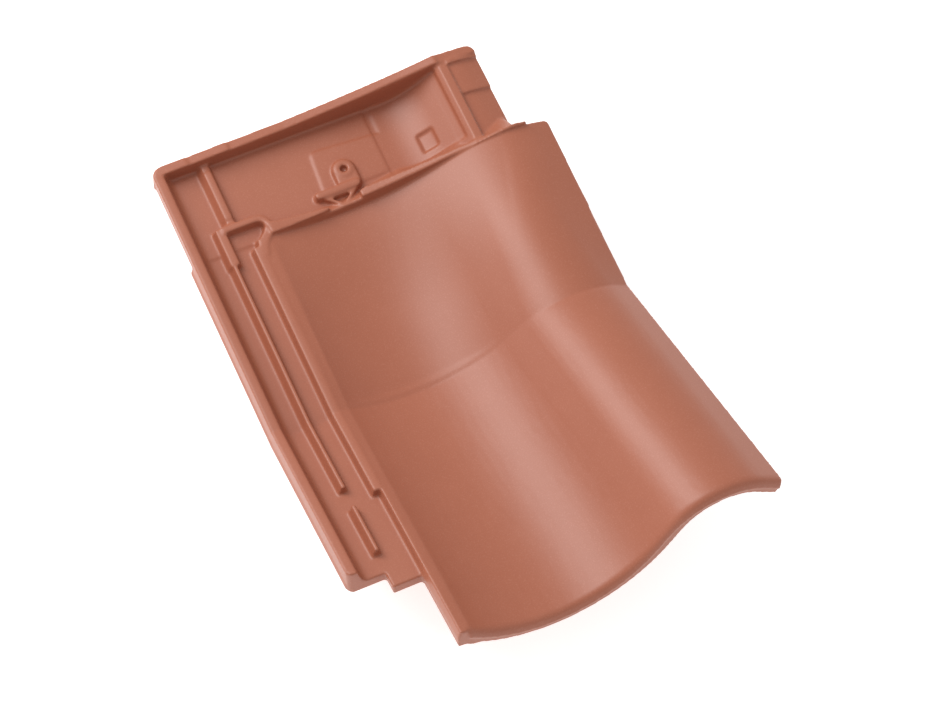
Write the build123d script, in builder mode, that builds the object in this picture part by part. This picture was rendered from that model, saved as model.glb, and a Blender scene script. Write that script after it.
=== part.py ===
"""Interlocking clay pantile with a bent body, one pressed and fired piece.

The tile is drawn as it lies on a roof plane: X runs across from the side-lap
on the left to the cover flange on the right, Y runs up the roof from the foot
to the head, Z stands off the roof. Places across are taken from the left rim,
places along from the bend line, heights from the datum of the side-lap. The
datum vector shifts all of it, so that the part's origin is the middle of the
face with which the left nib bears on its batten.
"""

from build123d import *
from collections import namedtuple
from math import acos, asin, atan2, cos, hypot, radians, sin, sqrt, tan
import os

# Body: lengths from the bend line, thickness of the fired clay
head_length = 243.0
foot_length = 223.0
surface_length = 158.0  # end of the weathered surface, where the head lap starts
bend_angle = 15.0  # lift of the foot half out of the roof plane
wall = 12.5

# Side-lap on the left: rim, two water channels, border of the weathered surface
rim_left = -2.0
rim_width = 8.0
rim_height = 2.5
rim_draft = 3.5
rim_foot = 3.0
rim_undercut = 2.0  # on the outside of the rim, along the head lap
seam_height = -15.5  # press seam on the outside of the rim
seam_width = 1.0
channel_floor = -12.0
tray_bottom = -22.0
border_left = 53.5
border_width = 8.3
border_height = -4.0
step_draft = 2.2
shelf_left = 48.0  # the border is wider from the head lap to past the bend
shelf_head_end = 152.0
shelf_foot_end = 80.0

# Wave of the weathered surface at three stations: lowest and highest point,
# their radii, and the edge of the flange
Wave = namedtuple("Wave", "trough_x trough_z trough_r crest_x crest_z crest_r edge_x edge_z")
wave_head = Wave(97.0, -6.5, 398.0, 273.0, 24.2, 46.0, 304.0, 15.0)
wave_bend = Wave(121.0, -24.2, 110.0, 252.0, 34.0, 61.0, 300.0, 14.0)
wave_foot = Wave(130.0, -30.2, 109.0, 268.0, 40.8, 59.0, 317.0, 20.0)

# Head lap, covered by the next tile up the roof
head_floor = -11.0
head_rise_x = 180.0  # where the floor starts to rise to the crest
head_crest = (248.0, -42.0, 55.0)  # centre and radius of the low crest
head_edge = (276.0, 6.5)
head_rim_width = 8.0
head_rim_teeth = ((27.7, 3.6, 2.6), (62.5, 4.3, 3.0))  # place, height before and after
head_rim_flat = (110.0, 4.5)
head_rim_mid = (152.0, 8.5)
head_rim_hip = (196.0, 14.0)
head_rim_notch = (242.0, 22.5, 21.3)
head_rim_right = 18.0
right_lap_left = 249.5
right_lap_steps = ((160.0, 204.0, 2.5), (204.0, 232.0, 5.0), (232.0, 236.0, 8.0))  # from, to, lift

# Step from the weathered surface down to the head lap, and the bead on it
riser_slope = 40.0
riser_drop = 12.0
riser_start = 160.0
bead_height = 3.2
bead_round = 0.9
bead_right = ((144.0, 158.8), (284.0, 156.6), (284.0, 158.8), (150.0, 166.4), (144.0, 165.0))
bead_left = ((66.0, 157.4), (114.0, 159.2), (118.0, 160.8), (115.0, 162.4), (66.0, 168.0))

# Ribs of the side-lap and the head lap
rib_top = -4.0
rib_left = 24.0
rib_slope = 3.4  # width of its sloping left face
rib_width = 2.8
rib_foot_end = 67.0
short_rib_start = 84.5
short_rib_end = 130.0
wide_rib_right = 33.2
wide_rib_end = 143.5
head_rib_left = 32.5
head_rib_slope = 4.8
head_rib_width = 6.0
head_rib_steps = ((177.0, 183.0, -4.7), (183.0, 227.0, -4.0), (227.0, 237.0, -4.7))  # from, to, top
cross_rib_low = 171.0
cross_rib_high = 178.5
cross_rib_right = 70.0
cross_rib_top = -3.0
cross_rib_turn = 6.5
cross_rib_end = 159.0
cross_rib_round = 2.5
cross_rib_draft = 6.0  # degrees
rib_draft = 1.0  # width of the steep right face of a rib

# Side-lap cut back at the foot, clear of the head lap of the tile below
outer_cut = 146.0
inner_cut = 160.0
cut_step_x = 27.5

# Ribs under the flange, which run in the water channels of the next tile across
cover_width = 254.0
lock_rib_width = 7.0
lock_rib_draft = 1.5
lock_rib_gap = 1.2  # above the channel floor
lock_rib_head_end = 148.0
lock_rib_foot_gap = 25.0

# Plan radii of the corners
head_round = 8.0
flange_round = 5.0

# Nibs under the head, hooked over the batten
nib_width = 44.0
nib_thickness = 18.0
nib_face = 205.0
nib_tip = -37.5
nib_left_x = 65.0
nib_right_x = 175.0

# Blind nail boss, its bar and panel
boss_x = 141.4
boss_y = 189.5
boss_width = 19.8
boss_top = -5.5
boss_ring = 7.5
boss_ring_height = 0.8
boss_draft = 8.0  # degrees
boss_ring_draft = 20.0
bar_left = 109.5
bar_right = 150.0
bar_y = 174.5
bar_width = 8.0
bar_top = -3.8
spout = ((114.5, 172.0), (129.7, 158.8), (147.5, 172.0))  # V-shaped ridge under the bar
spout_width = 2.6
spout_top = -5.5
panel = ((119.5, 176.0), (123.0, 214.5), (182.6, 210.0), (196.0, 209.0), (196.0, 176.0))
panel_rise = 1.0
panel_round = 4.0
nail_r = 3.0
nail_depth = 5.0

# Square recess in the sloping floor of the head lap
recess_x = 213.0
recess_y = 186.3
recess_width = 14.5
recess_length = 16.5
recess_depth = 2.0

# Rib along the crest of the head lap
crest_rib = ((229.5, 8.0), (242.0, 20.0), (249.0, 20.0), (251.0, 8.0))
crest_rib_foot = 160.0

# Helpers: depth to which added shapes are rooted in the body, height beyond any section
root = 1.0
clip_height = 200.0

datum = Vector(-nib_left_x, -nib_face, -(head_floor - wall + nib_tip) / 2)
bend = radians(bend_angle)
down_slope = Vector(0, -cos(bend), sin(bend))
off_slope = Vector(0, sin(bend), cos(bend))


def across(y):
    """Cross-section plane of the head half, y above the bend line."""
    return Plane(origin=datum + Vector(0, y, 0), x_dir=(1, 0, 0), z_dir=(0, -1, 0))


def level(z):
    """Plan plane of the head half at height z."""
    return Plane(origin=datum + Vector(0, 0, z), x_dir=(1, 0, 0), z_dir=(0, 0, 1))


def across_foot(s):
    """Cross-section plane of the foot half, s below the bend line."""
    return Plane(origin=datum + down_slope * s, x_dir=(1, 0, 0), z_dir=tuple(down_slope))


def level_foot(z):
    """Plan plane of the foot half at height z, its Y axis up the slope."""
    return Plane(origin=datum + off_slope * z, x_dir=(1, 0, 0), z_dir=tuple(off_slope))


bend_plane = Plane(origin=datum, x_dir=(1, 0, 0), z_dir=(0, -cos(bend / 2), sin(bend / 2)))


def on_circle(centre, radius, angle):
    return Vector(centre[0] + radius * cos(angle), centre[1] + radius * sin(angle))


def touch(point, centre, radius, side):
    """Angle at which the line from a point touches a circle."""
    away = atan2(point[1] - centre[1], point[0] - centre[0])
    return away + side * acos(radius / hypot(point[0] - centre[0], point[1] - centre[1]))


def wave_arcs(w, rise):
    """Trough arc, crest arc and flange edge of a wave, lifted by rise along its normal."""
    trough = (w.trough_x, w.trough_z + w.trough_r)
    crest = (w.crest_x, w.crest_z - w.crest_r)
    dx, dz = crest[0] - trough[0], crest[1] - trough[1]
    slope = atan2(dz, dx) + asin((w.trough_r + w.crest_r) / hypot(dx, dz))
    fall = touch((w.edge_x, w.edge_z), crest, w.crest_r, 1)
    hollow, bulge = w.trough_r - rise, w.crest_r + rise
    left = border_left + border_width - min(rise, 0) / 2
    start = -acos((left - trough[0]) / hollow)
    low, high = slope - radians(90), slope + radians(90)
    return (
        [on_circle(trough, hollow, a) for a in (start, (start + low) / 2, low)],
        [on_circle(crest, bulge, a) for a in (high, (high + fall) / 2, fall)],
        Vector(w.edge_x, w.edge_z) + Vector(cos(fall), sin(fall)) * rise,
    )


def body_profile(plane, w):
    """Closed profile of the body: tray, border, wave and flange."""
    trough, crest, edge = wave_arcs(w, 0)
    under_trough, under_crest, under_edge = wave_arcs(w, -wall)
    with BuildSketch(plane) as profile:
        with BuildLine():
            Polyline(
                (rim_left - seam_width, tray_bottom),
                (rim_left - seam_width, seam_height - seam_width),
                (rim_left, seam_height),
                (rim_left, rim_height),
                (rim_left + rim_width, rim_height),
                (rim_left + rim_width + rim_draft, channel_floor + rim_foot),
                (rim_left + rim_width + rim_draft + rim_foot, channel_floor),
                (border_left - step_draft, channel_floor),
                (border_left, border_height),
                trough[0],
            )
            ThreePointArc(*trough)
            Line(trough[2], crest[0])
            ThreePointArc(*crest)
            Polyline(crest[2], edge, under_edge, under_crest[2])
            ThreePointArc(*reversed(under_crest))
            Line(under_crest[0], under_trough[2])
            ThreePointArc(*reversed(under_trough))
            Polyline(under_trough[0], (border_left, tray_bottom), (rim_left - seam_width, tray_bottom))
        make_face()
    return profile.sketch


def wave_band(plane, w, low, high, left, right):
    """Strip between two lifts of a wave, from left to right across."""
    trough, crest, edge = wave_arcs(w, high)
    under_trough, under_crest, under_edge = wave_arcs(w, low)
    with BuildSketch(plane) as band:
        with BuildLine():
            ThreePointArc(*trough)
            Line(trough[2], crest[0])
            ThreePointArc(*crest)
            Polyline(crest[2], edge, under_edge, under_crest[2])
            ThreePointArc(*reversed(under_crest))
            Line(under_crest[0], under_trough[2])
            ThreePointArc(*reversed(under_trough))
            Line(under_trough[0], trough[0])
        make_face()
        with Locations(((left + right) / 2, 0)):
            Rectangle(right - left, clip_height, mode=Mode.INTERSECT)
    return band.sketch


def floor_line(rise):
    """Points of the head lap floor: flat, slope, low crest and right edge, lifted by rise."""
    centre, radius = head_crest[:2], head_crest[2]
    start = touch((head_rise_x, head_floor), centre, radius, -1)
    end = touch(head_edge, centre, radius, 1)
    lean = start - radians(90)
    flat_end = Vector(head_rise_x - rise * tan(lean / 2), head_floor + rise)
    arc = [on_circle(centre, radius + rise, a) for a in (start, (start + end) / 2, end)]
    return flat_end, arc, Vector(*head_edge) + Vector(cos(end), sin(end)) * rise


def lap_band(plane, low, high, left, right):
    """Strip between two lifts of the head lap floor, from left to right across."""
    flat_end, arc, edge = floor_line(high)
    under_flat, under_arc, under_edge = floor_line(low)
    with BuildSketch(plane) as band:
        with BuildLine():
            Line(flat_end, arc[0])
            ThreePointArc(*arc)
            Polyline(arc[2], edge, under_edge, under_arc[2])
            ThreePointArc(*reversed(under_arc))
            Polyline(under_arc[0], under_flat, flat_end)
        make_face()
        with Locations(((left + right) / 2, 0)):
            Rectangle(right - left, clip_height, mode=Mode.INTERSECT)
    return band.sketch


def closed_shape(plane, points, rounding=0.0):
    """Face with straight sides, with all its corners rounded alike."""
    with BuildSketch(plane) as shape:
        with BuildLine():
            Polyline(*points, points[0])
        make_face()
        if rounding:
            fillet(shape.vertices(), rounding)
    return shape.sketch


def rail(plane):
    """Section of the narrow rib of the side-lap, with its sloping left face."""
    top_left = rib_left + rib_slope
    return closed_shape(plane, (
        (rib_left, channel_floor), (top_left, rib_top), (top_left + rib_width, rib_top),
        (top_left + rib_width + rib_draft, channel_floor),
    ))


def shelf(plane):
    """Section of the part by which the border is wider over the bend."""
    return closed_shape(plane, (
        (shelf_left - step_draft, channel_floor), (shelf_left, border_height),
        (border_left + root, border_height), (border_left + root, channel_floor),
    ))


def corner_waste(plane, corner, radius, to_x, to_y):
    """What a rounded corner leaves of a square one; to_x and to_y point into the tile."""
    spare = 4.0
    x, y = corner
    with BuildSketch(plane) as waste:
        with Locations((x + to_x * (radius - spare) / 2, y + to_y * (radius - spare) / 2)):
            Rectangle(radius + spare, radius + spare)
        with Locations((x + to_x * radius, y + to_y * radius)):
            Circle(radius, mode=Mode.SUBTRACT)
    return waste.sketch


def lock_rib(plane, w, x):
    """Section of a rib hanging from the flange into a channel of the next tile."""
    top = w.crest_z - w.crest_r + sqrt(w.crest_r**2 - (x - w.crest_x) ** 2) - wall / 2
    tip = channel_floor + lock_rib_gap
    half = lock_rib_width / 2
    with BuildSketch(plane) as section:
        with BuildLine():
            Polyline(
                (x - half - lock_rib_draft, top), (x - half, tip), (x + half, tip),
                (x + half + lock_rib_draft, top), (x - half - lock_rib_draft, top),
            )
        make_face()
    return section.sketch


# Step between surface and head lap: it falls towards the head and ends inside the floor
with BuildPart() as riser:
    with BuildSketch(across(riser_start)):
        trough, crest, edge = wave_arcs(wave_head, 0)
        with BuildLine():
            ThreePointArc(*trough)
            Line(trough[2], crest[0])
            ThreePointArc(*crest)
            Polyline(crest[2], edge, (edge.X, tray_bottom), (trough[0].X, tray_bottom), trough[0])
        make_face()
        with Locations((head_edge[0] / 2, 0)):
            Rectangle(head_edge[0], clip_height, mode=Mode.INTERSECT)
    extrude(amount=riser_start - surface_length + wall)
    extrude(
        riser.faces().sort_by(Axis.Y)[-1],
        amount=riser_drop / sin(radians(riser_slope)),
        dir=(0, cos(radians(riser_slope)), -sin(radians(riser_slope))),
    )
    with BuildSketch(across(head_length)):
        under_flat, under_arc, under_edge = floor_line(-wall)
        with BuildLine():
            Polyline((border_left, head_floor - wall), under_flat, under_arc[0])
            ThreePointArc(*under_arc)
            Polyline(
                under_arc[2], under_edge, (head_edge[0], head_edge[1] + 4 * wall),
                (border_left, head_edge[1] + 4 * wall), (border_left, head_floor - wall),
            )
        make_face()
    extrude(amount=head_length - surface_length + wall, mode=Mode.INTERSECT)

# Bead along the head end of the surface, with a gap at the nail boss
beads = []
for outline in (bead_left, bead_right):
    with BuildPart() as bead:
        band = wave_band(
            across(riser_start + wall), wave_head, -wall / 4, bead_height, border_left, wave_head.edge_x
        )
        extrude(band, amount=2 * wall)
        extrude(closed_shape(level(0), outline, bead_round), amount=4 * wall, both=True, mode=Mode.INTERSECT)
    beads.append(bead.part)

with BuildPart() as roof_tile:
    # Weathered body: wave and side-lap run from the head lap over the bend to the foot
    loft([body_profile(across(surface_length), wave_head), body_profile(bend_plane, wave_bend)], ruled=True)
    loft([body_profile(bend_plane, wave_bend), body_profile(across_foot(foot_length), wave_foot)], ruled=True)

    # Head lap: flat floor rising to a low crest, with the left rim running on
    with BuildSketch(across(head_length)):
        flat_end, arc, right = floor_line(0)
        under_flat, under_arc, under_right = floor_line(-wall)
        with BuildLine():
            Polyline(
                (rim_left + rim_undercut, tray_bottom),
                (rim_left, rim_height),
                (rim_left + rim_width, rim_height),
                (rim_left + rim_width + rim_draft, head_floor + rim_foot),
                (rim_left + rim_width + rim_draft + rim_foot, head_floor),
                flat_end,
                arc[0],
            )
            ThreePointArc(*arc)
            Polyline(arc[2], right, under_right, under_arc[2])
            ThreePointArc(*reversed(under_arc))
            Polyline(
                under_arc[0],
                under_flat,
                (border_left + border_width, head_floor - wall),
                (border_left, tray_bottom),
                (rim_left + rim_undercut, tray_bottom),
            )
        make_face()
    extrude(amount=head_length - surface_length)
    add(riser.part)
    add(beads)

    # Head rim, following the underside of the tile that will lie over it
    with BuildSketch(across(head_length)):
        with BuildLine():
            teeth = [point for x, before, after in head_rim_teeth for point in ((x, before), (x, after))]
            Polyline((rim_left, rim_height), *teeth, head_rim_flat)
            rise = ThreePointArc(head_rim_flat, head_rim_mid, head_rim_hip)
            notch_x, notch_before, notch_after = head_rim_notch
            TangentArc(rise @ 1, (notch_x, notch_before), tangent=rise % 1)
            Polyline(
                (notch_x, notch_before),
                (notch_x, notch_after),
                (head_edge[0], head_rim_right),
                head_edge,
                arc[1],
                (head_rise_x, head_floor - wall / 2),
                (rim_left, head_floor - wall / 2),
                (rim_left, rim_height),
            )
        make_face()
    extrude(amount=head_rim_width)

    # Ribs of the side-lap: wide below the head lap, then narrow over the bend
    extrude(closed_shape(across(cross_rib_high - root), (
        (rib_left - rib_draft, channel_floor), (rib_left + 2 * rib_draft, rib_top),
        (wide_rib_right, rib_top), (wide_rib_right + rib_draft, channel_floor),
    )), amount=cross_rib_high - root - wide_rib_end)
    loft([rail(across(wide_rib_end + root)), rail(bend_plane)], ruled=True)
    loft([rail(bend_plane), rail(across_foot(rib_foot_end))], ruled=True)
    loft([rail(across_foot(short_rib_start)), rail(across_foot(short_rib_end))], ruled=True)

    # Wider border over the bend, which ends in a slanting step
    loft([shelf(across(shelf_head_end)), shelf(bend_plane)], ruled=True)
    loft([shelf(bend_plane), shelf(across_foot(shelf_foot_end))], ruled=True)

    # Cross rib, which turns down to the bead, and head lap rib: they turn rain water off the lap
    cross_shape = (
        (rib_left, cross_rib_high), (cross_rib_right, cross_rib_high), (cross_rib_right, cross_rib_end),
        (cross_rib_right - cross_rib_turn, cross_rib_end), (cross_rib_right - cross_rib_turn, cross_rib_low),
        (rib_left, cross_rib_low),
    )
    extrude(
        closed_shape(level(channel_floor), cross_shape, cross_rib_round),
        amount=cross_rib_top - channel_floor,
        taper=cross_rib_draft,
    )
    for low, high, top in head_rib_steps:
        top_left = head_rib_left + head_rib_slope
        extrude(closed_shape(across(high), (
            (head_rib_left, head_floor - root), (top_left, top), (top_left + head_rib_width, top),
            (top_left + head_rib_width + rib_draft, head_floor - root),
        )), amount=high - low)

    # Rib along the crest, and the stepped strip on its right
    extrude(closed_shape(across(head_length - root), crest_rib), amount=head_length - root - crest_rib_foot)
    for low, high, lift in right_lap_steps:
        extrude(lap_band(across(high), -wall / 4, lift, right_lap_left, head_edge[0]), amount=high - low)

    # Raised panel, V-shaped spout ridge, blind nail boss and its bar
    extrude(closed_shape(level(head_floor - root), panel, panel_round), amount=root + panel_rise)
    with BuildSketch(level(head_floor - root)):
        with BuildLine():
            Polyline(*spout, spout[0])
        make_face()
        offset(amount=-spout_width, kind=Kind.INTERSECTION, mode=Mode.SUBTRACT)
    extrude(amount=spout_top - head_floor + root)
    with BuildSketch(level(head_floor - root)):
        with Locations((boss_x, boss_y)):
            Circle(boss_width / 2)
        with Locations((boss_x, (boss_y + bar_y) / 2)):
            Rectangle(boss_width, boss_y - bar_y)
    extrude(amount=boss_top - head_floor + root, taper=boss_draft)
    with BuildSketch(level(boss_top - root)):
        with Locations((boss_x, boss_y)):
            Circle(boss_ring)
    extrude(amount=root + boss_ring_height, taper=boss_ring_draft)
    with BuildSketch(level(head_floor - root)):
        with Locations(((bar_left + bar_right) / 2, bar_y)):
            SlotOverall(bar_right - bar_left, bar_width)
    extrude(amount=bar_top - head_floor + root, taper=boss_draft)
    with BuildSketch(level(boss_top + boss_ring_height)):
        with Locations((boss_x, boss_y)):
            Circle(nail_r)
    extrude(amount=-nail_depth, mode=Mode.SUBTRACT)

    # Square recess, sunk square to the sloping floor
    flat_end, arc, right = floor_line(0)
    lean = Vector(*(arc[0] - flat_end))
    along = (recess_x - flat_end.X) / (arc[0].X - flat_end.X)
    middle = flat_end + (arc[0] - flat_end) * along
    slope_plane = Plane(
        origin=datum + Vector(middle.X, recess_y, middle.Y),
        x_dir=(lean.X, 0, lean.Y),
        z_dir=(-lean.Y, 0, lean.X),
    )
    with BuildSketch(slope_plane):
        Rectangle(recess_width, recess_length)
    extrude(amount=-recess_depth, mode=Mode.SUBTRACT)

    # Ribs under the flange, in line with the channels of the next tile across
    outer_channel = (rim_left + rim_width + rim_draft + rib_left) / 2
    inner_channel = (rib_left + rib_slope + rib_width + shelf_left) / 2
    head_end, foot_end = across(lock_rib_head_end), across_foot(foot_length - lock_rib_foot_gap)
    for x in (cover_width + outer_channel, cover_width + inner_channel):
        loft([lock_rib(head_end, wave_head, x), lock_rib(bend_plane, wave_bend, x)], ruled=True)
        loft([lock_rib(bend_plane, wave_bend, x), lock_rib(foot_end, wave_foot, x)], ruled=True)

    # Nibs under the head
    with BuildSketch(level(head_floor - wall / 2)):
        with Locations(*[(x, nib_face + nib_thickness / 2) for x in (nib_left_x, nib_right_x)]):
            Rectangle(nib_width, nib_thickness)
    extrude(amount=nib_tip - head_floor + wall / 2)

    # Side-lap cut back at the foot
    with BuildSketch(level_foot(0)):
        with BuildLine():
            Polyline(
                (-wall, -outer_cut), (cut_step_x, -outer_cut), (cut_step_x, -inner_cut),
                (border_left - step_draft, -inner_cut), (border_left - step_draft, -foot_length - wall),
                (-wall, -foot_length - wall), (-wall, -outer_cut),
            )
        make_face()
    extrude(amount=4 * wall, both=True, mode=Mode.SUBTRACT)

    # Rounded corners of the outline
    for waste in (
        corner_waste(level(0), (rim_left, head_length), head_round, 1, -1),
        corner_waste(level(0), (head_edge[0], head_length), head_round, -1, -1),
        corner_waste(level(0), (wave_head.edge_x, surface_length), flange_round, -1, -1),
        corner_waste(level_foot(0), (wave_foot.edge_x, -foot_length), flange_round, -1, 1),
        corner_waste(level_foot(0), (rim_left, -outer_cut), flange_round, 1, 1),
    ):
        extrude(waste, amount=6 * wall, both=True, mode=Mode.SUBTRACT)

os.makedirs("parts", exist_ok=True)
roof_tile.part.label = "roof_tile"
export_step(roof_tile.part, "parts/roof_tile.step")
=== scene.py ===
"""Clay roof tile: an engobed, fired clay pantile in plain soft studio light."""

from collections import namedtuple
import math

import bmesh
import bpy
import numpy as np
from mathutils import Euler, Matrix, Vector
from mathutils.bvhtree import BVHTree


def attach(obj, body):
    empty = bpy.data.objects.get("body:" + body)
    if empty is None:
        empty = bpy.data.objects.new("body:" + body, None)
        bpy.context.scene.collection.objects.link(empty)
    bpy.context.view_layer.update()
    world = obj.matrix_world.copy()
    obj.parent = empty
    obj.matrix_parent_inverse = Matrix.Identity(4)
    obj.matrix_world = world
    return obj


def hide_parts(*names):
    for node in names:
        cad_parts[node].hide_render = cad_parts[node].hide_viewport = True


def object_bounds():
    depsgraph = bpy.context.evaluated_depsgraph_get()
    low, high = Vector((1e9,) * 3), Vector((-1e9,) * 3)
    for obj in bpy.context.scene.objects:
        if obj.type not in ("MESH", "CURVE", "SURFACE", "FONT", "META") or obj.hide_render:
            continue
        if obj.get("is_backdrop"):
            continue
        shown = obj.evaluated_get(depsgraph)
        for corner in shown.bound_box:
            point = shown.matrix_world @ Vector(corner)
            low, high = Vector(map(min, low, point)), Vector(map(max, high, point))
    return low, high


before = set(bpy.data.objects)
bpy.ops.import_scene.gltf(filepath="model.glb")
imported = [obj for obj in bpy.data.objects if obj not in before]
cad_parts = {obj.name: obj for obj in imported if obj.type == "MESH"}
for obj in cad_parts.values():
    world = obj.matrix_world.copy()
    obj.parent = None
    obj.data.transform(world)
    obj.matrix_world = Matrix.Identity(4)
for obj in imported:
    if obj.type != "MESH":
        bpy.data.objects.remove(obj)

bl_info = {
    "name": "Clay Roof Tile",
    "version": (1, 0, 0),
    "blender": (4, 5, 0),
    "location": "View3D > Sidebar > Roof Tile",
    "description": "Finishes a pressed clay roof tile and sets it in soft studio light",
    "category": "Object",
}

MM = 0.001
CAD_LOW, CAD_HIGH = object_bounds()

# Places on the tile in millimetres: X from the left rim, Y from the bend, Z from the side-lap datum
DATUM = Vector((-65.0, -205.0, 30.5))
WALL = 12.5
BORDER_RIGHT = 61.8
SURFACE_END = 156.0
BEND = math.radians(15)
FOOT_LENGTH = 223.0

# Wave of the head half: lowest and highest point, their radii, and the edge of the flange
Wave = namedtuple("Wave", "trough_x trough_z trough_r crest_x crest_z crest_r edge_x edge_z")
WAVE_HEAD = Wave(127.0, -21.5, 130.0, 255.0, 25.5, 54.0, 304.0, 15.0)
WAVE_BEND = Wave(121.0, -24.2, 110.0, 252.0, 34.0, 61.0, 300.0, 14.0)


def linear(hex_colour):
    """An sRGB hex colour as linear red, green, blue and alpha."""
    parts = [int(hex_colour[i : i + 2], 16) / 255 for i in (1, 3, 5)]
    curve = [c / 12.92 if c <= 0.04045 else ((c + 0.055) / 1.055) ** 2.4 for c in parts]
    return (*curve, 1.0)


def add_node(tree, kind, settings=None, inputs=None, links=None):
    """Adds a node, sets its properties and sockets, and links sockets to outputs of other nodes."""
    node = tree.nodes.new(kind)
    for key, value in (settings or {}).items():
        setattr(node, key, value)
    for key, value in (inputs or {}).items():
        node.inputs[key].default_value = value
    for key, source in (links or {}).items():
        tree.links.new(source, node.inputs[key])
    return node


def set_ramp(node, stops):
    """Gives a colour ramp its stops, as (position, colour) pairs."""
    ramp = node.color_ramp
    while len(ramp.elements) > 1:
        ramp.elements.remove(ramp.elements[-1])
    ramp.elements[0].position, ramp.elements[0].color = stops[0]
    for position, colour in stops[1:]:
        ramp.elements.new(position).color = colour


class PressSettings(bpy.types.PropertyGroup):
    """How the pressed clay differs from its sharp drawing."""

    fineness: bpy.props.FloatProperty(
        name="Fineness", description="Width of the mesh before it is thinned", default=0.9 * MM, unit="LENGTH"
    )
    softening: bpy.props.IntProperty(
        name="Softening", description="Smoothing steps, which round all edges as the engobe does", default=6
    )
    triangles: bpy.props.IntProperty(
        name="Triangles", description="Triangles that the finished tile may have", default=190000
    )


class ClaySettings(bpy.types.PropertyGroup):
    """Sizes and colours of the fired clay."""

    body: bpy.props.StringProperty(
        name="Clay colour", description="Colour of the engobe where it lies evenly", default="#A66148"
    )
    dark: bpy.props.StringProperty(
        name="Dark clay", description="Colour of the engobe in its darker clouds", default="#A56047"
    )
    light: bpy.props.StringProperty(
        name="Light clay", description="Colour of the engobe in its paler clouds", default="#A76249"
    )
    speck: bpy.props.StringProperty(
        name="Speck colour", description="Colour of the pale grains in the engobe", default="#BC7C66"
    )
    grain: bpy.props.FloatProperty(
        name="Grain", description="Width of one grain of the engobe", default=1.1 * MM, unit="LENGTH"
    )
    cloud: bpy.props.FloatProperty(
        name="Cloud", description="Width of a cloud in the engobe colour", default=22 * MM, unit="LENGTH"
    )
    roughness: bpy.props.FloatProperty(
        name="Roughness", description="Roughness of the fired engobe", default=0.42, subtype="FACTOR"
    )


class StageSettings(bpy.types.PropertyGroup):
    """The floor, the lights and the camera."""

    floor_colour: bpy.props.StringProperty(
        name="Floor colour", description="Colour of the plain floor", default="#F4F4F4"
    )
    floor_size: bpy.props.FloatProperty(
        name="Floor size", description="Width of the floor", default=8.0, unit="LENGTH"
    )
    floor_glow: bpy.props.FloatProperty(
        name="Floor glow", description="Light that comes through the floor from below", default=0.7
    )
    room_light: bpy.props.FloatProperty(
        name="Room light", description="Strength of the white light from all around", default=0.6
    )
    softbox_size: bpy.props.FloatProperty(
        name="Softbox width", description="Width of the softbox on the head side", default=1.0, unit="LENGTH"
    )
    softbox_length: bpy.props.FloatProperty(
        name="Softbox length", description="Length of the softbox, up and down", default=2.0, unit="LENGTH"
    )
    softbox_place: bpy.props.FloatVectorProperty(
        name="Softbox place", description="Where the softbox hangs, from the middle of the tile",
        default=(-0.95, 1.3, 1.55), subtype="TRANSLATION",
    )
    softbox_power: bpy.props.FloatProperty(
        name="Softbox power", description="Power of the softbox in watts", default=42.0
    )
    focal_length: bpy.props.FloatProperty(
        name="Focal length", description="Lens of the camera in millimetres", default=114.9
    )
    camera_place: bpy.props.FloatVectorProperty(
        name="Camera place", description="Where the camera stands", default=(-0.4243, -1.0007, 2.1419),
        subtype="TRANSLATION",
    )
    camera_turn: bpy.props.FloatVectorProperty(
        name="Camera turn", description="Rotation of the camera about X, Y and Z",
        default=tuple(math.radians(a) for a in (24.06, -3.899, -24.667)), subtype="EULER",
    )


def engobed_clay(clay):
    """Fired clay with a sprayed iron-oxide engobe: a dense matt slip that gives an even copper red,
    broad satin highlights and a fine grain."""
    material = bpy.data.materials.new("engobed_fired_clay")
    material.use_nodes = True
    tree = material.node_tree
    tree.nodes.clear()
    place = add_node(tree, "ShaderNodeTexCoord").outputs["Object"]
    cloud = add_node(
        tree, "ShaderNodeTexNoise",
        inputs={"Scale": 1 / clay.cloud, "Detail": 3.0, "Roughness": 0.5},
        links={"Vector": place},
    )
    tint = add_node(tree, "ShaderNodeValToRGB", links={"Fac": cloud.outputs["Fac"]})
    set_ramp(tint, [(0.3, linear(clay.dark)), (0.5, linear(clay.body)), (0.72, linear(clay.light))])
    grain = add_node(
        tree, "ShaderNodeTexNoise",
        inputs={"Scale": 1 / clay.grain, "Detail": 2.0, "Roughness": 0.6},
        links={"Vector": place},
    )
    speck = add_node(
        tree, "ShaderNodeMapRange",
        inputs={"From Min": 0.52, "From Max": 0.75, "To Min": 0.0, "To Max": 0.35},
        links={"Value": grain.outputs["Fac"]},
    )
    colour = add_node(
        tree, "ShaderNodeMix", settings={"data_type": "RGBA"},
        inputs={7: linear(clay.speck)},
        links={0: speck.outputs["Result"], 6: tint.outputs["Color"]},
    )
    bump = add_node(
        tree, "ShaderNodeBump",
        inputs={"Strength": 0.25, "Distance": 0.2 * MM},
        links={"Height": grain.outputs["Fac"]},
    )
    shader = add_node(
        tree, "ShaderNodeBsdfPrincipled",
        inputs={"Roughness": clay.roughness, "IOR": 1.5},
        links={"Base Color": colour.outputs[2], "Normal": bump.outputs["Normal"]},
    )
    add_node(tree, "ShaderNodeOutputMaterial", links={"Surface": shader.outputs["BSDF"]})
    return material


def evaluated_mesh(piece):
    """The mesh of an object with its modifiers applied; the object itself is removed."""
    graph = bpy.context.evaluated_depsgraph_get()
    mesh = bpy.data.meshes.new_from_object(piece.evaluated_get(graph))
    bpy.data.objects.remove(piece)
    return mesh


def add_remesh(piece, fineness):
    remesh = piece.modifiers.new("remesh", "REMESH")
    remesh.mode = "VOXEL"
    remesh.voxel_size = fineness


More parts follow.
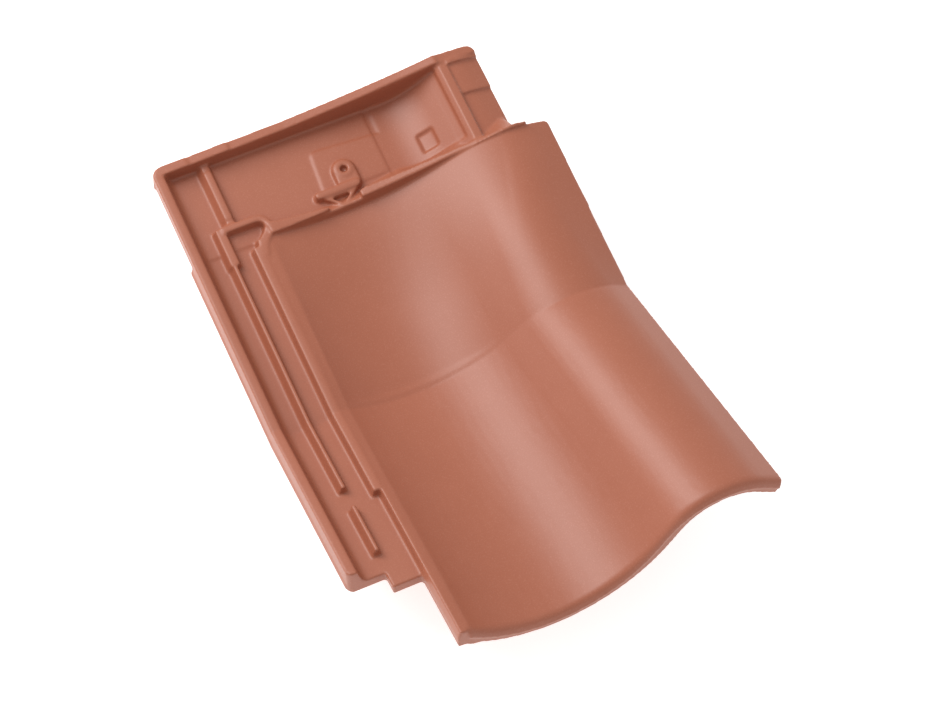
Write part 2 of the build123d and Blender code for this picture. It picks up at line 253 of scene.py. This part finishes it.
def add_ridge(form, path, width, low, high):
    """Adds a ridge with sloping sides along a path; the remesh joins it with the tile."""
    draft = 1
    foot, top = width / 2 + draft, width / 2 - draft
    corners = [(-foot, low), (foot, low), (top, high), (-top, high)]
    places = [Vector((x, y, 0)) for x, y in path]
    rings = []
    for index, place in enumerate(places):
        before, after = places[max(index - 1, 0)], places[min(index + 1, len(places) - 1)]
        side = (after - before).normalized().cross(Vector((0, 0, 1)))
        spots = [DATUM + place + side * a + Vector((0, 0, z)) for a, z in corners]
        rings.append([form.verts.new(spot * MM) for spot in spots])
    for ring, following in zip(rings, rings[1:]):
        for k in range(4):
            form.faces.new((ring[k], ring[(k + 1) % 4], following[(k + 1) % 4], following[k]))
    form.faces.new(reversed(rings[0]))
    form.faces.new(rings[-1])


def add_goose_neck(drawn):
    """The cross rib that turns the side lap's channel into the head lap, and the border's round corner."""
    inside_wall = -16.0
    cross_rib = [(31, 175), (45, 175), (58, 175), (63, 174), (66, 170.5), (67.5, 165)]
    border_corner = [(54, 143), (55.5, 150), (59.5, 156), (64, 160), (67, 165)]
    form = bmesh.new()
    form.from_mesh(drawn)
    add_ridge(form, cross_rib, 7.5, inside_wall, -3.0)
    add_ridge(form, border_corner, 9.0, inside_wall, -3.8)
    bmesh.ops.recalc_face_normals(form, faces=form.faces)
    mesh = bpy.data.meshes.new("press_block")
    form.to_mesh(mesh)
    form.free()
    return mesh


def new_piece(name, mesh):
    piece = bpy.data.objects.new(name, mesh)
    bpy.context.scene.collection.objects.link(piece)
    return piece


def smooth_step(value, low, high):
    """0 below low, 1 above high, and a smooth rise between."""
    t = np.clip((value - low) / (high - low), 0, 1)
    return t * t * (3 - 2 * t)


def wave_height(w, x):
    """Height of a wave at x: trough arc, straight slope, crest arc and straight fall to the edge."""
    trough_z, crest_z = w.trough_z + w.trough_r, w.crest_z - w.crest_r
    dx, dz = w.crest_x - w.trough_x, crest_z - trough_z
    lean = np.arctan2(dz, dx) + np.arcsin((w.trough_r + w.crest_r) / np.hypot(dx, dz))
    edge_x, edge_z = w.edge_x - w.crest_x, w.edge_z - crest_z
    fall = np.arctan2(edge_z, edge_x) + np.arccos(w.crest_r / np.hypot(edge_x, edge_z))
    low_x = w.trough_x + w.trough_r * np.sin(lean)
    low_z = trough_z - w.trough_r * np.cos(lean)
    high_x = w.crest_x - w.crest_r * np.sin(lean)
    fall_x = w.crest_x + w.crest_r * np.cos(fall)
    fall_z = crest_z + w.crest_r * np.sin(fall)
    hollow = trough_z - np.sqrt(np.maximum(w.trough_r**2 - (x - w.trough_x) ** 2, 0))
    slope = low_z + (x - low_x) * np.tan(lean)
    bulge = crest_z + np.sqrt(np.maximum(w.crest_r**2 - (x - w.crest_x) ** 2, 0))
    drop = fall_z + (x - fall_x) * (w.edge_z - fall_z) / (w.edge_x - fall_x)
    return np.where(x < low_x, hollow, np.where(x < high_x, slope, np.where(x < fall_x, bulge, drop)))


def height_grid(mesh, xs, ys):
    """Heights of the top of a mesh over a grid of places, in millimetres."""
    tree = BVHTree.FromPolygons([v.co for v in mesh.vertices], [p.vertices for p in mesh.polygons])
    sky = 300.0
    grid = np.zeros((len(ys), len(xs)))
    for row, y in enumerate(ys):
        for column, x in enumerate(xs):
            hit = tree.ray_cast((DATUM + Vector((x, y, sky))) * MM, Vector((0, 0, -1)))[0]
            grid[row, column] = hit.z / MM - DATUM.z if hit else grid[row, column - 1]
    return grid


def on_grid(grid, xs, ys, x, y):
    """Values of a grid at places between its points."""
    column = np.clip((x - xs[0]) / (xs[1] - xs[0]), 0, len(xs) - 1.001)
    row = np.clip((y - ys[0]) / (ys[1] - ys[0]), 0, len(ys) - 1.001)
    i, j = row.astype(int), column.astype(int)
    u, v = row - i, column - j
    near = grid[i, j] * (1 - v) + grid[i, j + 1] * v
    far = grid[i + 1, j] * (1 - v) + grid[i + 1, j + 1] * v
    return near * (1 - u) + far * u


def get_places(mesh):
    flat = np.empty(3 * len(mesh.vertices))
    mesh.vertices.foreach_get("co", flat)
    return flat.reshape(-1, 3) / MM - np.array(DATUM)


def set_places(mesh, places):
    mesh.vertices.foreach_set("co", ((places + np.array(DATUM)) * MM).ravel())
    mesh.update()


def deepen_trough(places, drawn):
    """Keeps the trough and the roll nearly straight from the bend to the head, as the light on the
    photographed tile shows them; the drawn wave grows flat there. The drawn bead keeps its height,
    so its end stands a little above the lowered roll."""
    kept_by_bead = 0.58
    xs, ys = np.arange(BORDER_RIGHT, WAVE_HEAD.edge_x - 2, 2.0), np.arange(1.0, SURFACE_END - 1, 4.0)
    grid = height_grid(drawn, xs, ys)
    x, y, z = places.T
    along = np.clip(y, ys[0], ys[-1])
    share = along / SURFACE_END
    wave = Wave(*(b + (h - b) * share for b, h in zip(WAVE_BEND, WAVE_HEAD)))
    top = on_grid(grid, xs, ys, x, along)
    lift = wave_height(wave, np.clip(x, BORDER_RIGHT, wave.edge_x)) - top
    lift *= 1 - kept_by_bead * smooth_step(along, 50.0, SURFACE_END + 8)
    depth = np.clip((top - z) / WALL, 0, 1)
    end = SURFACE_END + 9 * depth
    keep = 1 - smooth_step(y, end, end + 2.5 + 8 * depth)
    keep *= smooth_step(y, 0.0, 6.0) * smooth_step(x, BORDER_RIGHT - 2, BORDER_RIGHT + 4)
    keep *= x < WAVE_HEAD.edge_x + 1
    places[:, 2] += lift * keep


def steepen_head_slope(places, drawn):
    """Rounds the start of the slope in the head lap, which is a hollow that grows steep. What lies
    below the slope moves with it, also the end of the nib there."""
    xs, ys = np.arange(176.0, 240.0, 2.0), np.arange(180.0, 232.0, 4.0)
    start, radius, steep, floor = 184.0, 65.0, 0.6, -11.0
    grid = height_grid(drawn, xs, ys)
    grid = np.tile(grid.max(axis=0), (len(ys), 1))
    x, y, z = places.T
    top = on_grid(grid, xs, ys, x, np.clip(y, ys[0], ys[-1]))
    run = np.maximum(x - start, 0)
    arc = radius - np.sqrt(radius**2 - np.minimum(run, steep * radius) ** 2)
    line = np.maximum(run - steep * radius, 0) * steep / math.sqrt(1 - steep**2)
    lift = np.minimum(floor + arc + line - top, 0)
    keep = smooth_step(y, 166.0, 172.0) * (1 - smooth_step(y, 233.0, 236.0))
    keep *= (x > xs[0]) * (x < xs[-1])
    places[:, 2] += lift * keep


def round_foot_edge(places, drawn):
    """Rounds the upper edge of the foot, which the mould leaves much rounder than the others, and
    adds the flash line where the two halves of the mould met."""
    radius, sky = 6.0, 200
    flash_depth, flash_height, flash_width, recess, longer = 7.0, 1.1, 0.9, 0.4, 1.6
    xs = np.arange(60.0, 320.0, 2.0)
    x, y, z = places.T
    along = -y * math.cos(BEND) + z * math.sin(BEND)
    off = y * math.sin(BEND) + z * math.cos(BEND)
    tree = BVHTree.FromPolygons([v.co for v in drawn.vertices], [p.vertices for p in drawn.polygons])
    down = Vector((0, -math.cos(BEND), math.sin(BEND)))
    up = Vector((0, math.sin(BEND), math.cos(BEND)))
    heights = []
    for place in xs:
        start = DATUM + Vector((place, 0, 0)) + down * (FOOT_LENGTH - radius - 1) + up * sky
        hit = tree.ray_cast(start * MM, -up)[0]
        heights.append((hit / MM - DATUM).dot(up) if hit else heights[-1])
    top = np.interp(x, xs, heights)
    inward = FOOT_LENGTH - along
    depth = np.maximum(top - off, 0)
    near = (inward < radius) & (depth < radius) & (x > xs[0])
    out = np.hypot(radius - inward, radius - depth)
    pull = np.where(near & (out > radius), radius / np.maximum(out, radius), 1.0)
    shift_in = (radius - inward) * (1 - pull)
    shift_down = (radius - depth) * (1 - pull)
    flash = flash_height * np.exp(-(((depth - flash_depth) / flash_width) ** 2))
    flash -= recess * smooth_step(depth, 7.6, 8.6)
    shift_in -= (flash + longer) * (1 - smooth_step(inward, 1.5, 9.0)) * (x > xs[0])
    places[:, 1] += shift_in * math.cos(BEND) - shift_down * math.sin(BEND)
    places[:, 2] += -shift_in * math.sin(BEND) - shift_down * math.cos(BEND)


class TILE_OT_press_tile(bpy.types.Operator):
    """Presses the tile: the drawn solid with the soft edges of clay that left its mould"""

    bl_idname = "roof_tile.press_tile"
    bl_label = "Press Tile"

    def execute(self, context):
        press = context.scene.roof_tile_press
        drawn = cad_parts["roof_tile"].data
        tile = new_piece("press_block", add_goose_neck(drawn))
        add_remesh(tile, press.fineness)
        tile = new_piece("press_block", evaluated_mesh(tile))
        places = get_places(tile.data)
        deepen_trough(places, drawn)
        steepen_head_slope(places, drawn)
        round_foot_edge(places, drawn)
        set_places(tile.data, places)
        add_remesh(tile, press.fineness)
        soften = tile.modifiers.new("soften", "SMOOTH")
        soften.iterations = press.softening
        tile = new_piece("press_block", evaluated_mesh(tile))
        thin = tile.modifiers.new("thin", "DECIMATE")
        thin.ratio = press.triangles / (2 * len(tile.data.polygons))
        tile = new_piece("pressed_tile", evaluated_mesh(tile))
        tile.data.shade_smooth()
        tile.data.materials.clear()
        tile.data.materials.append(engobed_clay(context.scene.roof_tile_clay))
        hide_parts("roof_tile")
        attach(tile, "root")
        return {"FINISHED"}


def lit_acrylic(stage):
    """Opal acrylic of a light table, lit from below: matt, near white and without a hard shadow."""
    material = bpy.data.materials.new("opal_acrylic_light_table")
    material.use_nodes = True
    tree = material.node_tree
    tree.nodes.clear()
    shader = add_node(
        tree, "ShaderNodeBsdfPrincipled",
        inputs={
            "Base Color": linear(stage.floor_colour), "Roughness": 0.9,
            "Emission Color": linear(stage.floor_colour), "Emission Strength": stage.floor_glow,
        },
    )
    add_node(tree, "ShaderNodeOutputMaterial", links={"Surface": shader.outputs["BSDF"]})
    return material


def area_light(name, width, length, place, aim, power):
    """A soft box: a white area light that faces a point."""
    light = bpy.data.lights.new(name, "AREA")
    light.shape = "RECTANGLE"
    light.size = width
    light.size_y = length
    light.energy = power
    lamp = bpy.data.objects.new(name, light)
    lamp.location = place
    lamp.rotation_euler = (Vector(aim) - Vector(place)).to_track_quat("-Z", "Y").to_euler()
    bpy.context.scene.collection.objects.link(lamp)
    return lamp


class TILE_OT_set_stage(bpy.types.Operator):
    """Adds the floor, the soft lights and the camera"""

    bl_idname = "roof_tile.set_stage"
    bl_label = "Set Stage"

    def execute(self, context):
        stage = context.scene.roof_tile_stage
        half = stage.floor_size / 2
        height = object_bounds()[0].z - 0.5 * MM
        mesh = bpy.data.meshes.new("floor")
        corners = [(-half, -half), (half, -half), (half, half), (-half, half)]
        mesh.from_pydata([(x, y, height) for x, y in corners], [], [(0, 1, 2, 3)])
        floor = bpy.data.objects.new("floor", mesh)
        context.scene.collection.objects.link(floor)
        mesh.materials.append(lit_acrylic(stage))
        floor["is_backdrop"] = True

        world = bpy.data.worlds.new("studio")
        context.scene.world = world
        world.use_nodes = True
        backdrop = world.node_tree.nodes["Background"]
        backdrop.inputs["Color"].default_value = linear("#FFFFFF")
        backdrop.inputs["Strength"].default_value = stage.room_light
        centre = (Vector(CAD_LOW) + Vector(CAD_HIGH)) / 2
        area_light(
            "head_softbox", stage.softbox_size, stage.softbox_length,
            centre + Vector(stage.softbox_place), centre, stage.softbox_power,
        )

        camera = bpy.data.cameras.new("camera")
        camera.lens = stage.focal_length
        camera.sensor_width = 36
        camera.clip_end = 20
        holder = bpy.data.objects.new("camera", camera)
        holder.location = stage.camera_place
        holder.rotation_euler = Euler(stage.camera_turn)
        context.scene.collection.objects.link(holder)
        context.scene.camera = holder
        context.scene.view_settings.view_transform = "Standard"
        return {"FINISHED"}


class TILE_PT_panel(bpy.types.Panel):
    """Lists the steps that make the scene"""

    bl_idname = "TILE_PT_panel"
    bl_label = "Roof Tile"
    bl_space_type = "VIEW_3D"
    bl_region_type = "UI"
    bl_category = "Roof Tile"

    def draw(self, context):
        scene = context.scene
        for group in (scene.roof_tile_press, scene.roof_tile_clay, scene.roof_tile_stage):
            box = self.layout.box()
            for name in group.bl_rna.properties.keys():
                if name not in ("rna_type", "name"):
                    box.prop(group, name)
        self.layout.operator(TILE_OT_press_tile.bl_idname)
        self.layout.operator(TILE_OT_set_stage.bl_idname)


CLASSES = (PressSettings, ClaySettings, StageSettings, TILE_OT_press_tile, TILE_OT_set_stage, TILE_PT_panel)


def register():
    for cls in CLASSES:
        bpy.utils.register_class(cls)
    bpy.types.Scene.roof_tile_press = bpy.props.PointerProperty(type=PressSettings)
    bpy.types.Scene.roof_tile_clay = bpy.props.PointerProperty(type=ClaySettings)
    bpy.types.Scene.roof_tile_stage = bpy.props.PointerProperty(type=StageSettings)


def unregister():
    del bpy.types.Scene.roof_tile_stage
    del bpy.types.Scene.roof_tile_clay
    del bpy.types.Scene.roof_tile_press
    for cls in reversed(CLASSES):
        bpy.utils.unregister_class(cls)


def main():
    register()
    bpy.ops.roof_tile.press_tile()
    bpy.ops.roof_tile.set_stage()


if __name__ == "__main__":
    main()
